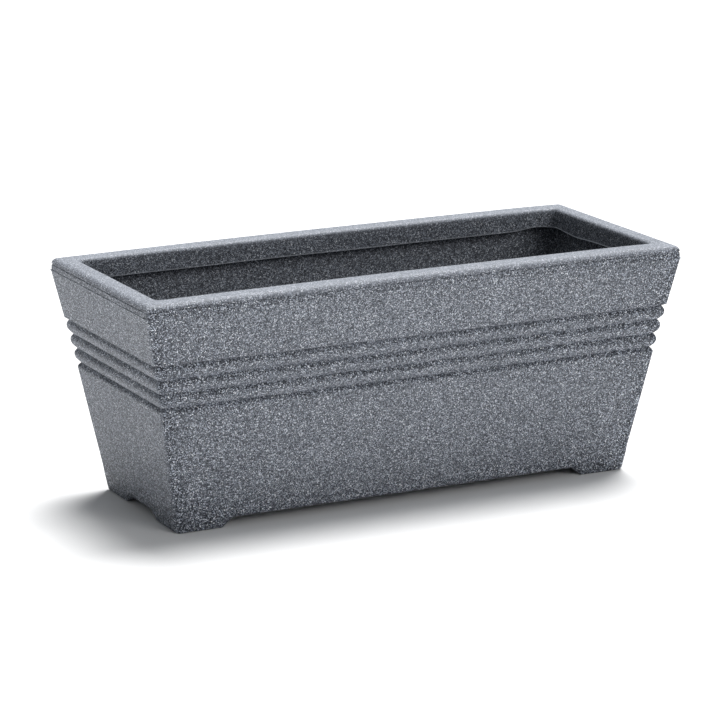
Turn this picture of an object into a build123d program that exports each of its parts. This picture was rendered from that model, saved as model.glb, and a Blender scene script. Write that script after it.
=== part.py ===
from build123d import *
import os
from math import atan, cos, pi, radians, sin

# Self watering trough planter, in millimetres, +Z up.
# The origin is the centre of the footprint on the ground. X runs along the trough and +Y is the rear.

# Shell: outside sizes from the ground up
top_length = 711.0
top_width = 294.0
height = 289.0
kink_length = 666.0
kink_width = 260.0
kink_z = 162.0
base_length = 607.0
base_width = 210.0
top_corner_radius = 5.0
base_corner_radius = 8.0
least_corner_radius = 1.5
inner_corner_step = 2.0
wall = 4.0
# How far a cut runs on past the surface that it opens
cut_margin = 1.0

# Rim: a flat web, with a skirt turned down inside the wall
rim_end = 26.6
rim_side = 30.5
rim_band = 15.5
rim_rounding = 8.0
rim_inner_rounding = 5.0
skirt_drop = 26.4
skirt_wall = 3.5
opening_corner_radius = 6.0
opening_length = top_length - 2 * rim_end
opening_width = top_width - 2 * rim_side

# Band of grooves round the walls, with a rounded bead between each pair
groove_count = 4
groove_pitch = 17.7
groove_depth = 4.0
inner_groove_depth = 3.0
top_groove_z = 212.0
groove_chamfer = 2.5
groove_shoulder = 6.0
bead_steps = 6

# Feet and floor
foot_length = 58.0
foot_slope = 15.5
foot_height = 11.5
foot_rounding = 4.0
floor_z = 16.0
pocket_z = 4.0
pocket_wall = 6.0

# Fittings through the rear wall
overflow_x = 150.0
overflow_z = 58.0
drain_x = -150.0
drain_z = 33.0
fitting_radius = 9.0
fitting_bore_radius = 6.5
fitting_hole_radius = 9.2
flange_radius = 15.0
flange_thickness = 3.0
flange_chamfer = 0.8
gasket_inset = 0.5
gasket_thickness = 2.0
nut_across_flats = 26.0
nut_thickness = 6.0
nut_chamfer = 1.2
fitting_tail = 4.0
spout_length = 14.0
spout_chamfer = 1.0
screen_gap = 0.2
screen_thickness = 2.0
screen_hole_radius = 1.3
screen_ring_radius = 4.4
plug_stem_radius = 6.43
plug_stem_length = 16.0
plug_head_radius = 11.0
plug_head_thickness = 4.0
plug_head_gap = 0.3
plug_head_rounding = 1.0
plug_neck_radius = 5.93
plug_grip_height = 10.0
plug_grip_length = 18.0
plug_grip_width = 5.0
plug_grip_corner = 2.0
plug_grip_rounding = 1.2
ring_section_radius = 1.2
ring_squeeze = 0.05

# Lift-out false floor and what hangs from it
deck_z = 84.0
deck_thickness = 4.0
deck_top_z = deck_z + deck_thickness
deck_length = 622.0
deck_width = 220.0
deck_corner_radius = 9.0
deck_split_gap = 1.0
rib_depth = 8.0
rib_width = 3.0
rib_inset = 6.0
well_places = (85.0, 225.0)
well_radius = 30.0
well_bottom_radius = 25.0
well_wall = 2.5
well_bottom_z = 18.5
well_flange_radius = 36.0
well_flange_thickness = 2.5
well_gap = 0.4
well_slot_count = 12
well_slot_height = 34.0
well_slot_width = 3.5
leg_places = ((20.0, 0.0), (155.0, 80.0), (155.0, -80.0), (288.0, 0.0))
leg_radius = 11.0
leg_bore_radius = 8.5
leg_pad_radius = 14.0
leg_pad_thickness = 2.5
leg_clearance = 0.3
socket_wall = 2.5
slot_length = 20.0
slot_width = 5.0
slot_margin = 1.0
slot_rib_margin = 0.5
slot_pitch_x = 30.0
slot_pitch_y = 12.0
slot_columns = 10
slot_rows = 17
clip_places = (-80.0, 80.0)
clip_reach = 13.0
clip_length = 34.0
clip_width = 16.0
clip_thickness = 2.0
clip_corner_radius = 2.0
clip_margin = 4.0
clip_hook = 3.0
clip_hook_width = 12.0
clip_play = 0.2

# Fill tube with its hinged cap, and the water level gauge
tube_x = 274.0
tube_y = -76.0
fill_radius = 17.0
fill_bore_radius = 15.0
fill_bottom_z = 9.0
fill_top_z = 249.0
fill_lip_radius = 19.0
fill_lip_height = 5.0
collar_radius = 26.0
collar_height = 11.0
collar_flange = 3.0
collar_wall = 3.0
collar_rib_width = 2.0
cap_gap = 0.3
cap_radius = 20.0
cap_thickness = 3.0
cap_spigot_radius = 13.8
cap_spigot_wall = 2.0
cap_spigot_depth = 5.0
cap_tab_width = 14.0
cap_tab_reach = 12.0
cap_tab_corner = 4.0
cap_arm_start = 8.0
hinge_offset = 23.5
hinge_barrel_radius = 3.2
hinge_pin_radius = 1.5
hinge_running_gap = 0.05
hinge_lug_width = 4.0
hinge_knuckle_width = 10.0
hinge_side_gap = 0.4
hinge_barrel_gap = 0.6
gauge_radius = 15.0
gauge_bore_radius = 13.3
gauge_bottom_z = 6.0
gauge_top_z = 240.0
gauge_stop_radius = 9.0
gauge_stop_thickness = 3.0
window_z = 36.0
window_height = 32.0
window_width = 6.0
sight_height = 18.0
sight_wall = 2.0
sight_rounding = 5.0
guide_radius = 5.1
guide_thickness = 3.0
float_radius = 12.2
float_bottom_z = 9.3
float_height = 20.0
float_rounding = 3.0
rod_radius = 2.0
tip_radius = 5.0
tip_height = 16.0
tip_top_z = 221.0
tip_rounding = 2.0
rod_socket = 8.0

lip_z = height - rim_band
rear_slope = (kink_width - base_width) / 2 / kink_z
rear_lean = atan(rear_slope)
wall_across = wall * cos(rear_lean)
fitting_inside = wall_across + nut_thickness + fitting_tail

os.makedirs("parts", exist_ok=True)


def outer_half_sizes(z):
    """Half length and half width of the outside at height z, leaving out the grooves."""
    if z >= lip_z:
        return top_length / 2, top_width / 2
    if z >= kink_z:
        part_way = (z - kink_z) / (lip_z - kink_z)
        half_x = kink_length + part_way * (top_length - kink_length)
        half_y = kink_width + part_way * (top_width - kink_width)
        return half_x / 2, half_y / 2
    part_way = z / kink_z
    half_x = base_length + part_way * (kink_length - base_length)
    half_y = base_width + part_way * (kink_width - base_width)
    return half_x / 2, half_y / 2


def corner_radius(z):
    """Radius of the wall's upright corners, which shrinks a little towards the rim."""
    return base_corner_radius + (top_corner_radius - base_corner_radius) * z / height


def groove_at(z):
    """Depth of the grooves at height z: cusps at the valleys and round beads between them."""
    below_top = top_groove_z - z
    band = (groove_count - 1) * groove_pitch
    if below_top < 0:
        return groove_depth * max(0.0, 1 + below_top / groove_chamfer)
    if below_top <= band:
        return groove_depth * (1 - abs(sin(pi * below_top / groove_pitch)))
    past = min(1.0, (below_top - band) / groove_shoulder)
    return groove_depth * (1 - sin(pi / 2 * past))


def inner_groove_at(z):
    """The same band seen on the inside of the wall, where moulding softens it to a wave."""
    below_top = top_groove_z - z
    band = (groove_count - 1) * groove_pitch
    if below_top < -groove_pitch / 2 or below_top > band + groove_pitch / 2:
        return 0.0
    return inner_groove_depth * (1 + cos(2 * pi * below_top / groove_pitch)) / 2


def band_levels():
    """Heights of the sections through the band of grooves, from the bottom up."""
    low_valley = top_groove_z - (groove_count - 1) * groove_pitch
    steps = (groove_count - 1) * bead_steps
    levels = [low_valley - groove_shoulder, low_valley - groove_shoulder / 2]
    levels += [low_valley + step * groove_pitch / bead_steps for step in range(steps + 1)]
    levels += [top_groove_z + groove_chamfer]
    return levels


def outer_sections():
    """(height, half length, half width, corner radius) of each section of the outside."""
    sections = []
    for angle in (0, 30, 60, 90):
        inset = foot_rounding * (1 - sin(radians(angle)))
        z = foot_rounding * (1 - cos(radians(angle)))
        half_x, half_y = outer_half_sizes(z)
        sections.append((z, half_x - inset, half_y - inset, corner_radius(z) - inset / 2))
    for z in band_levels() + [lip_z]:
        half_x, half_y = outer_half_sizes(z)
        inset = groove_at(z)
        sections.append((z, half_x - inset, half_y - inset, corner_radius(z)))
    for angle in (0, 18, 36, 54, 72, 90):
        inset = rim_rounding * (1 - cos(radians(angle)))
        z = height - rim_rounding + rim_rounding * sin(radians(angle))
        radius = max(top_corner_radius - inset, least_corner_radius)
        sections.append((z, top_length / 2 - inset, top_width / 2 - inset, radius))
    return sections


def inner_sections():
    """(height, half length, half width, corner radius) of each section of the cavity."""
    low_wave = top_groove_z - (groove_count - 0.5) * groove_pitch
    high_wave = top_groove_z + groove_pitch / 2
    steps = groove_count * bead_steps
    levels = [floor_z]
    levels += [low_wave + step * groove_pitch / bead_steps for step in range(steps + 1)]
    levels += [lip_z, height - wall]
    sections = []
    for z in levels:
        half_x, half_y = outer_half_sizes(z)
        inset = wall + inner_groove_at(z)
        sections.append((z, half_x - inset, half_y - inset, corner_radius(z) - inner_corner_step))
    return sections


def rear_wall_plane(x, z):
    """Plane on the outside of the rear wall, with its own z axis pointing straight out of the wall."""
    half_y = outer_half_sizes(z)[1]
    return Plane(origin=(x, half_y, z), x_dir=(-1, 0, 0), z_dir=(0, cos(rear_lean), -sin(rear_lean)))


def is_near(x, y, places, reach):
    """Whether x, y lies within reach of any of the places."""
    return any((x - a) ** 2 + (y - b) ** 2 < reach ** 2 for a, b in places)


def slot_fits(x, y, wells, legs, tube):
    """Whether a slot at x, y stays clear of the wells, the legs, the tube, the clips and the ribs."""
    half_slot = slot_length / 2
    if is_near(x, y, wells, well_flange_radius + half_slot + slot_margin):
        return False
    if is_near(x, y, legs, leg_pad_radius + half_slot):
        return False
    if is_near(x, y, [tube], collar_radius + half_slot + slot_margin):
        return False
    clip_distance = min(abs(y - clip_y) for clip_y in clip_places)
    if abs(x) < clip_length / 2 + half_slot and clip_distance < clip_width / 2 + clip_margin:
        return False
    return abs(abs(y) - deck_width / 4) > (slot_width + rib_width) / 2 + slot_rib_margin


def save(builder, name):
    """Label a finished piece and write it as its own STEP file."""
    builder.part.label = name
    export_step(builder.part, "parts/" + name + ".step")


overflow_plane = rear_wall_plane(overflow_x, overflow_z)
drain_plane = rear_wall_plane(drain_x, drain_z)

# Shell: moulded trough with a skirted rim, hollow feet and two holes for the fittings
with BuildPart() as planter_shell:
    for z, half_x, half_y, radius in outer_sections():
        with BuildSketch(Plane.XY.offset(z)):
            RectangleRounded(2 * half_x, 2 * half_y, radius)
    loft(ruled=True)
    for z, half_x, half_y, radius in inner_sections():
        with BuildSketch(Plane.XY.offset(z)):
            RectangleRounded(2 * half_x, 2 * half_y, radius)
    loft(ruled=True, mode=Mode.SUBTRACT)
    # Opening through the web of the rim, and the skirt that hangs from its edge
    with BuildSketch(Plane.XY.offset(height - 2 * wall)):
        RectangleRounded(opening_length, opening_width, opening_corner_radius)
    extrude(amount=2 * wall, mode=Mode.SUBTRACT)
    with BuildSketch(Plane.XY.offset(height - skirt_drop)):
        RectangleRounded(
            opening_length + 2 * skirt_wall,
            opening_width + 2 * skirt_wall,
            opening_corner_radius + skirt_wall,
        )
        RectangleRounded(opening_length, opening_width, opening_corner_radius, mode=Mode.SUBTRACT)
    extrude(amount=skirt_drop - wall / 2)
    opening_edges = planter_shell.faces().sort_by(Axis.Z)[-1].inner_wires()[0].edges()
    fillet(opening_edges, radius=rim_inner_rounding)
    # Gaps that leave a foot at each corner, each with a sloped end
    for plane, half_base, reach in (
        (Plane.XZ, base_length / 2, top_width / 2),
        (Plane.YZ, base_width / 2, top_length / 2),
    ):
        half_gap = half_base - foot_length
        with BuildSketch(plane):
            with BuildLine():
                Polyline(
                    (-half_gap, 0),
                    (-half_gap + foot_slope, foot_height),
                    (half_gap - foot_slope, foot_height),
                    (half_gap, 0),
                    close=True,
                )
            make_face()
        extrude(amount=reach, both=True, mode=Mode.SUBTRACT)
    # Pockets that make the feet hollow from the inside
    for side_x in (-1, 1):
        for side_y in (-1, 1):
            for z, slope in ((pocket_z, 0.0), (floor_z + cut_margin, foot_slope)):
                size = foot_length - 2 * pocket_wall + slope
                centre_x = side_x * (base_length / 2 - pocket_wall - size / 2)
                centre_y = side_y * (base_width / 2 - pocket_wall - size / 2)
                with BuildSketch(Plane.XY.offset(z)):
                    with Locations((centre_x, centre_y)):
                        RectangleRounded(size, size, pocket_wall)
            loft(ruled=True, mode=Mode.SUBTRACT)
    for plane in (overflow_plane, drain_plane):
        with BuildSketch(plane):
            Circle(fitting_hole_radius)
        extrude(amount=2 * wall, both=True, mode=Mode.SUBTRACT)
save(planter_shell, "planter_shell")

# Fittings: one washer and one nut for each hole, and the two flanged bodies
with BuildPart() as overflow_spout:
    with BuildSketch(overflow_plane.offset(-fitting_inside)):
        Circle(fitting_radius)
    extrude(amount=fitting_inside + gasket_thickness + flange_thickness + spout_length)
    with BuildSketch(overflow_plane.offset(gasket_thickness)):
        Circle(flange_radius)
    extrude(amount=flange_thickness)
    spout_faces = overflow_spout.faces().sort_by(Axis(overflow_plane.origin, overflow_plane.z_dir))
    chamfer(spout_faces[-1].edges(), length=spout_chamfer)
    with BuildSketch(overflow_plane.offset(-fitting_inside)):
        Circle(fitting_bore_radius)
    extrude(amount=fitting_inside + gasket_thickness + flange_thickness + spout_length, mode=Mode.SUBTRACT)
save(overflow_spout, "overflow_spout")

with BuildPart() as drain_fitting:
    with BuildSketch(drain_plane.offset(-fitting_inside)):
        Circle(fitting_radius)
    extrude(amount=fitting_inside + gasket_thickness + flange_thickness)
    with BuildSketch(drain_plane.offset(gasket_thickness)):
        Circle(flange_radius)
    extrude(amount=flange_thickness)
    flange_faces = drain_fitting.faces().sort_by(Axis(drain_plane.origin, drain_plane.z_dir))
    chamfer(flange_faces[-1].edges(), length=flange_chamfer)
    with BuildSketch(drain_plane.offset(-fitting_inside)):
        Circle(fitting_bore_radius)
    extrude(amount=fitting_inside + gasket_thickness + flange_thickness, mode=Mode.SUBTRACT)
save(drain_fitting, "drain_fitting")

for place, plane in (("overflow", overflow_plane), ("drain", drain_plane)):
    with BuildPart() as gasket:
        with BuildSketch(plane):
            Circle(flange_radius - gasket_inset)
            Circle(fitting_radius, mode=Mode.SUBTRACT)
        extrude(amount=gasket_thickness)
    save(gasket, place + "_gasket")
    with BuildPart() as nut:
        with BuildSketch(plane.offset(-wall_across - nut_thickness)):
            RegularPolygon(nut_across_flats / 2, 6, major_radius=False)
        extrude(amount=nut_thickness)
        nut_faces = nut.faces().sort_by(Axis(plane.origin, plane.z_dir))
        chamfer(nut_faces[0].edges(), length=nut_chamfer)
        with BuildSketch(plane.offset(-wall_across - nut_thickness)):
            Circle(fitting_radius)
        extrude(amount=nut_thickness, mode=Mode.SUBTRACT)
    save(nut, place + "_nut")

# Screen: perforated cap over the inner end of the overflow spout
with BuildPart() as overflow_screen:
    with BuildSketch(overflow_plane.offset(-fitting_inside - screen_thickness)):
        Circle(fitting_radius + screen_thickness)
    extrude(amount=fitting_tail + screen_thickness - screen_gap)
    with BuildSketch(overflow_plane.offset(-fitting_inside)):
        Circle(fitting_radius)
    extrude(amount=fitting_tail, mode=Mode.SUBTRACT)
    with BuildSketch(overflow_plane.offset(-fitting_inside - screen_thickness)):
        Circle(screen_hole_radius)
        with PolarLocations(screen_ring_radius, 8):
            Circle(screen_hole_radius)
    extrude(amount=screen_thickness, mode=Mode.SUBTRACT)
save(overflow_screen, "overflow_screen")

# Drain plug: stem with a sealing ring, and a head with a grip to pull it by
flange_face = gasket_thickness + flange_thickness
ring_offset = flange_face - plug_stem_length / 2
with BuildPart() as drain_plug:
    with BuildSketch(drain_plane.offset(flange_face - plug_stem_length)):
        Circle(plug_stem_radius)
    extrude(amount=plug_stem_length)
    with BuildSketch(drain_plane.offset(flange_face + plug_head_gap)):
        Circle(plug_head_radius)
    extrude(amount=plug_head_thickness)
    with BuildSketch(drain_plane.offset(flange_face)):
        Circle(plug_neck_radius)
    extrude(amount=plug_head_thickness)
    head_faces = drain_plug.faces().sort_by(Axis(drain_plane.origin, drain_plane.z_dir))
    fillet(head_faces[-1].edges(), radius=plug_head_rounding)
    with BuildSketch(drain_plane.offset(flange_face + plug_head_thickness)):
        RectangleRounded(plug_grip_length, plug_grip_width, plug_grip_corner)
    extrude(amount=plug_grip_height)
    grip_faces = drain_plug.faces().sort_by(Axis(drain_plane.origin, drain_plane.z_dir))
    fillet(grip_faces[-1].edges(), radius=plug_grip_rounding)
    with BuildSketch(drain_plane.offset(ring_offset - ring_section_radius)):
        Circle(plug_stem_radius + cut_margin)
        Circle(plug_stem_radius - 2 * ring_section_radius + ring_squeeze, mode=Mode.SUBTRACT)
    extrude(amount=2 * ring_section_radius, mode=Mode.SUBTRACT)
save(drain_plug, "drain_plug")

with BuildPart() as drain_o_ring:
    with BuildSketch(drain_plane.offset(ring_offset).rotated((90, 0, 0))):
        with Locations((plug_stem_radius - ring_section_radius + ring_squeeze, 0)):
            Circle(ring_section_radius)
    revolve(axis=Axis(drain_plane.offset(ring_offset).origin, drain_plane.z_dir))
save(drain_o_ring, "drain_o_ring")

# False floor: two perforated halves with ribs below, joined by clips at the middle
half_deck_length = (deck_length - deck_split_gap) / 2
for side, name in ((-1, "platform_left"), (1, "platform_right")):
    wells = [(side * x, 0.0) for x in well_places]
    legs = [(side * x, y) for x, y in leg_places]
    tube = (side * tube_x, tube_y)
    tube_radius = fill_radius if side < 0 else gauge_radius
    deck_middle = side * (deck_split_gap / 2 + half_deck_length / 2)
    cut_length = half_deck_length + deck_split_gap
    with BuildPart() as platform:
        with BuildSketch(Plane.XY.offset(deck_z)):
            RectangleRounded(deck_length, deck_width, deck_corner_radius)
            with Locations((deck_middle - side * deck_length / 2, 0)):
                Rectangle(cut_length, deck_width + 2 * cut_margin, mode=Mode.SUBTRACT)
        extrude(amount=deck_thickness)
        # Rim and cross ribs that stiffen the deck
        with BuildSketch(Plane.XY.offset(deck_z - rib_depth)):
            with Locations((deck_middle, 0)):
                Rectangle(half_deck_length - 2 * rib_inset, deck_width - 2 * rib_inset)
                Rectangle(
                    half_deck_length - 2 * rib_inset - 2 * rib_width,
                    deck_width - 2 * rib_inset - 2 * rib_width,
                    mode=Mode.SUBTRACT,
                )
                with Locations((0, deck_width / 4), (0, -deck_width / 4)):
                    Rectangle(half_deck_length - 2 * rib_inset, rib_width)
            with Locations(*legs):
                Circle(leg_radius + socket_wall)
        extrude(amount=rib_depth)
        # Sockets for the legs, and clearance for the wells and the tube
        with BuildSketch(Plane.XY.offset(deck_z - rib_depth)):
            with Locations(*legs):
                Circle(leg_radius)
        extrude(amount=rib_depth, mode=Mode.SUBTRACT)
        with BuildSketch(Plane.XY.offset(deck_z - rib_depth)):
            with Locations(*wells):
                Circle(well_radius)
            with Locations(tube):
                Circle(tube_radius)
        extrude(amount=rib_depth + deck_thickness, mode=Mode.SUBTRACT)
        with BuildSketch(Plane.XY.offset(deck_z)):
            with Locations(*[(side * clip_reach, y) for y in clip_places]):
                Rectangle(clip_thickness + 2 * clip_play, clip_hook_width + 2 * clip_play)
        extrude(amount=deck_thickness, mode=Mode.SUBTRACT)
        # Rows of slots that drain and air the soil, left out near wells, legs, tube and ribs
        slots = []
        for row in range(slot_rows):
            for column in range(slot_columns):
                x = deck_middle + (column - (slot_columns - 1) / 2) * slot_pitch_x
                y = (row - (slot_rows - 1) / 2) * slot_pitch_y
                if slot_fits(x, y, wells, legs, tube):
                    slots.append((x, y))
        with BuildSketch(Plane.XY.offset(deck_z)):
            with Locations(*slots):
                SlotOverall(slot_length, slot_width)
        extrude(amount=deck_thickness, mode=Mode.SUBTRACT)
    save(platform, name)

with BuildPart() as platform_clips:
    for y in clip_places:
        with BuildSketch(Plane.XY.offset(deck_top_z)):
            with Locations((0, y)):
                RectangleRounded(clip_length, clip_width, clip_corner_radius)
        extrude(amount=clip_thickness)
        with BuildSketch(Plane.XY.offset(deck_z - clip_hook)):
            with Locations((-clip_reach, y), (clip_reach, y)):
                Rectangle(clip_thickness, clip_hook_width)
        extrude(amount=clip_hook + deck_thickness)
save(platform_clips, "platform_clips")

# Legs: tubes with a pad, pushed into the sockets below the deck
leg_bottom_z = floor_z + leg_clearance
leg_number = 0
for side in (-1, 1):
    for x, y in leg_places:
        leg_number += 1
        with BuildPart() as support_leg:
            with BuildSketch(Plane.XY.offset(leg_bottom_z)):
                with Locations((side * x, y)):
                    Circle(leg_radius)
            extrude(amount=deck_z - leg_bottom_z)
            with BuildSketch(Plane.XY.offset(leg_bottom_z)):
                with Locations((side * x, y)):
                    Circle(leg_pad_radius)
            extrude(amount=leg_pad_thickness)
            with BuildSketch(Plane.XY.offset(leg_bottom_z)):
                with Locations((side * x, y)):
                    Circle(leg_bore_radius)
            extrude(amount=deck_z - leg_bottom_z, mode=Mode.SUBTRACT)
        save(support_leg, "support_leg_" + str(leg_number))

# Soil wells: tapered cups with a flange on the deck, and slots that let the water in
well_number = 0
for side in (-1, 1):
    for x in well_places:
        well_number += 1
        well_plane = Plane(origin=(side * x, 0, 0), x_dir=(1, 0, 0), z_dir=(0, -1, 0))
        with BuildPart() as soil_well:
            with BuildSketch(well_plane):
                with BuildLine():
                    Polyline(
                        (0, well_bottom_z),
                        (well_bottom_radius, well_bottom_z),
                        (well_radius - well_gap, deck_z - rib_depth),
                        (well_radius - well_gap, deck_top_z),
                        (well_flange_radius, deck_top_z),
                        (well_flange_radius, deck_top_z + well_flange_thickness),
                        (well_radius - well_wall, deck_top_z + well_flange_thickness),
                        (well_radius - well_gap - well_wall, deck_z - rib_depth),
                        (well_bottom_radius - well_wall, well_bottom_z + well_wall),
                        (0, well_bottom_z + well_wall),
                        close=True,
                    )
                make_face()
            revolve(axis=Axis((side * x, 0, 0), (0, 0, 1)))
            for turn in range(well_slot_count // 2):
                angle = 360 / well_slot_count * (turn + 0.5)
                slot_plane = Plane(
                    origin=(side * x, 0, well_bottom_z + well_slot_height / 2 + 2 * well_wall),
                    x_dir=(-sin(radians(angle)), cos(radians(angle)), 0),
                    z_dir=(cos(radians(angle)), sin(radians(angle)), 0),
                )
                with BuildSketch(slot_plane):
                    SlotOverall(well_slot_height, well_slot_width, rotation=90)
                extrude(amount=well_radius, both=True, mode=Mode.SUBTRACT)
        save(soil_well, "soil_well_" + str(well_number))

# Fill tube: open tube from the hollow foot to just below the rim, with a lip and two hinge lugs
fill_x = -tube_x
hinge_y = tube_y + hinge_offset
hinge_z = fill_top_z + cap_gap + cap_thickness / 2
hinge_bore_radius = hinge_pin_radius + hinge_running_gap
lug_offset = hinge_knuckle_width / 2 + hinge_side_gap + hinge_lug_width / 2
with BuildPart() as fill_tube:
    with BuildSketch(Plane.XY.offset(fill_bottom_z)):
        with Locations((fill_x, tube_y)):
            Circle(fill_radius)
    extrude(amount=fill_top_z - fill_bottom_z)
    with BuildSketch(Plane.XY.offset(fill_top_z - fill_lip_height)):
        with Locations((fill_x, tube_y)):
            Circle(fill_lip_radius)
        with Locations((fill_x, tube_y + hinge_offset / 2)):
            Rectangle(2 * lug_offset + hinge_lug_width, hinge_offset + hinge_barrel_radius)
    extrude(amount=fill_lip_height)
    for side in (-1, 1):
        with BuildSketch(Plane.YZ.offset(fill_x + side * lug_offset - hinge_lug_width / 2)):
            with Locations((hinge_y, hinge_z)):
                Circle(hinge_barrel_radius)
            with Locations((hinge_y, (hinge_z + fill_top_z - fill_lip_height) / 2)):
                Rectangle(2 * hinge_barrel_radius, hinge_z - fill_top_z + fill_lip_height)
        extrude(amount=hinge_lug_width)
    with BuildSketch(Plane.YZ.offset(fill_x)):
        with Locations((hinge_y, hinge_z)):
            Circle(hinge_pin_radius)
    extrude(amount=2 * lug_offset, both=True, mode=Mode.SUBTRACT)
    # Room for the cap's knuckle between the lugs
    with BuildSketch(Plane.YZ.offset(fill_x - hinge_knuckle_width / 2 - hinge_side_gap)):
        with Locations((hinge_y, hinge_z)):
            Circle(hinge_barrel_radius + hinge_barrel_gap)
    extrude(amount=hinge_knuckle_width + 2 * hinge_side_gap, mode=Mode.SUBTRACT)
    with BuildSketch(Plane.XY.offset(fill_bottom_z)):
        with Locations((fill_x, tube_y)):
            Circle(fill_bore_radius)
    extrude(amount=fill_top_z - fill_bottom_z, mode=Mode.SUBTRACT)
save(fill_tube, "fill_tube")

# Collars on the deck that hold the two tubes upright
for name, x, radius in (("fill_collar", fill_x, fill_radius), ("gauge_collar", tube_x, gauge_radius)):
    with BuildPart() as collar:
        with BuildSketch(Plane.XY.offset(deck_top_z)):
            with Locations((x, tube_y)):
                Circle(collar_radius)
        extrude(amount=collar_flange)
        with BuildSketch(Plane.XY.offset(deck_top_z)):
            with Locations((x, tube_y)):
                Circle(radius + collar_wall)
        extrude(amount=collar_height)
        for turn in range(4):
            angle = pi / 2 * turn
            rib_plane = Plane(
                origin=(x, tube_y, deck_top_z),
                x_dir=(cos(angle), sin(angle), 0),
                z_dir=(sin(angle), -cos(angle), 0),
            )
            with BuildSketch(rib_plane):
                with BuildLine():
                    Polyline(
                        (radius + collar_wall / 2, collar_flange / 2),
                        (collar_radius - cut_margin, collar_flange / 2),
                        (radius + collar_wall / 2, collar_height - cut_margin),
                        close=True,
                    )
                make_face()
            extrude(amount=collar_rib_width / 2, both=True)
        with BuildSketch(Plane.XY.offset(deck_top_z)):
            with Locations((x, tube_y)):
                Circle(radius)
        extrude(amount=collar_height, mode=Mode.SUBTRACT)
    save(collar, name)

# Cap of the fill tube, with a spigot, a finger tab and the hinge knuckle
with BuildPart() as fill_cap:
    with BuildSketch(Plane.XY.offset(fill_top_z + cap_gap)):
        with Locations((fill_x, tube_y)):
            Circle(cap_radius)
        with Locations((fill_x, tube_y - cap_radius)):
            RectangleRounded(cap_tab_width, cap_tab_reach, cap_tab_corner)
        with Locations((fill_x, tube_y + (cap_arm_start + hinge_offset) / 2)):
            Rectangle(hinge_knuckle_width, hinge_offset - cap_arm_start)
    extrude(amount=cap_thickness)
    with BuildSketch(Plane.YZ.offset(fill_x - hinge_knuckle_width / 2)):
        with Locations((hinge_y, hinge_z)):
            Circle(hinge_barrel_radius)
    extrude(amount=hinge_knuckle_width)
    with BuildSketch(Plane.XY.offset(fill_top_z + cap_gap - cap_spigot_depth)):
        with Locations((fill_x, tube_y)):
            Circle(cap_spigot_radius)
            Circle(cap_spigot_radius - cap_spigot_wall, mode=Mode.SUBTRACT)
    extrude(amount=cap_spigot_depth)
    with BuildSketch(Plane.YZ.offset(fill_x)):
        with Locations((hinge_y, hinge_z)):
            Circle(hinge_bore_radius)
    extrude(amount=hinge_knuckle_width, both=True, mode=Mode.SUBTRACT)
save(fill_cap, "fill_cap")

with BuildPart() as cap_hinge_pin:
    with BuildSketch(Plane.YZ.offset(fill_x)):
        with Locations((hinge_y, hinge_z)):
            Circle(hinge_pin_radius)
    extrude(amount=lug_offset + hinge_lug_width / 2, both=True)
save(cap_hinge_pin, "cap_hinge_pin")

# Water level gauge: tube with a stop for the float, guide ring and clear cap
with BuildPart() as gauge_tube:
    with BuildSketch(Plane.XY.offset(gauge_bottom_z)):
        with Locations((tube_x, tube_y)):
            Circle(gauge_radius)
    extrude(amount=gauge_top_z - gauge_bottom_z)
    with BuildSketch(Plane.XY.offset(gauge_bottom_z)):
        with Locations((tube_x, tube_y)):
            Circle(gauge_stop_radius)
    extrude(amount=gauge_stop_thickness, mode=Mode.SUBTRACT)
    with BuildSketch(Plane.XY.offset(gauge_bottom_z + gauge_stop_thickness)):
        with Locations((tube_x, tube_y)):
            Circle(gauge_bore_radius)
    extrude(amount=gauge_top_z - gauge_bottom_z - gauge_stop_thickness, mode=Mode.SUBTRACT)
    # Windows that let the water reach the float
    for turn in range(2):
        angle = pi / 4 + pi / 2 * turn
        window_plane = Plane(
            origin=(tube_x, tube_y, window_z),
            x_dir=(0, 0, 1),
            z_dir=(cos(angle), sin(angle), 0),
        )
        with BuildSketch(window_plane):
            SlotOverall(window_height, window_width)
        extrude(amount=gauge_radius + cut_margin, both=True, mode=Mode.SUBTRACT)
save(gauge_tube, "gauge_tube")

with BuildPart() as guide_ring:
    with BuildSketch(Plane.XY.offset(gauge_top_z)):
        with Locations((tube_x, tube_y)):
            Circle(gauge_radius - sight_wall)
            Circle(guide_radius, mode=Mode.SUBTRACT)
    extrude(amount=guide_thickness)
save(guide_ring, "guide_ring")

with BuildPart() as sight_cap:
    with BuildSketch(Plane.XY.offset(gauge_top_z)):
        with Locations((tube_x, tube_y)):
            Circle(gauge_radius)
    extrude(amount=sight_height)
    fillet(sight_cap.faces().sort_by(Axis.Z)[-1].edges(), radius=sight_rounding)
    with BuildSketch(Plane.XY.offset(gauge_top_z)):
        with Locations((tube_x, tube_y)):
            Circle(gauge_radius - sight_wall)
    extrude(amount=sight_height - sight_wall, mode=Mode.SUBTRACT)
save(sight_cap, "sight_cap")

# Float, rod and coloured tip, which rise together in the gauge tube
with BuildPart() as level_float:
    with BuildSketch(Plane.XY.offset(float_bottom_z)):
        with Locations((tube_x, tube_y)):
            Circle(float_radius)
    extrude(amount=float_height)
    fillet(level_float.edges().filter_by(GeomType.CIRCLE), radius=float_rounding)
    with BuildSketch(Plane.XY.offset(float_bottom_z + float_height - rod_socket)):
        with Locations((tube_x, tube_y)):
            Circle(rod_radius)
    extrude(amount=rod_socket, mode=Mode.SUBTRACT)
save(level_float, "level_float")

with BuildPart() as indicator_rod:
    with BuildSketch(Plane.XY.offset(float_bottom_z + float_height - rod_socket)):
        with Locations((tube_x, tube_y)):
            Circle(rod_radius)
    extrude(amount=tip_top_z - tip_height + rod_socket - (float_bottom_z + float_height - rod_socket))
save(indicator_rod, "indicator_rod")

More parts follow.
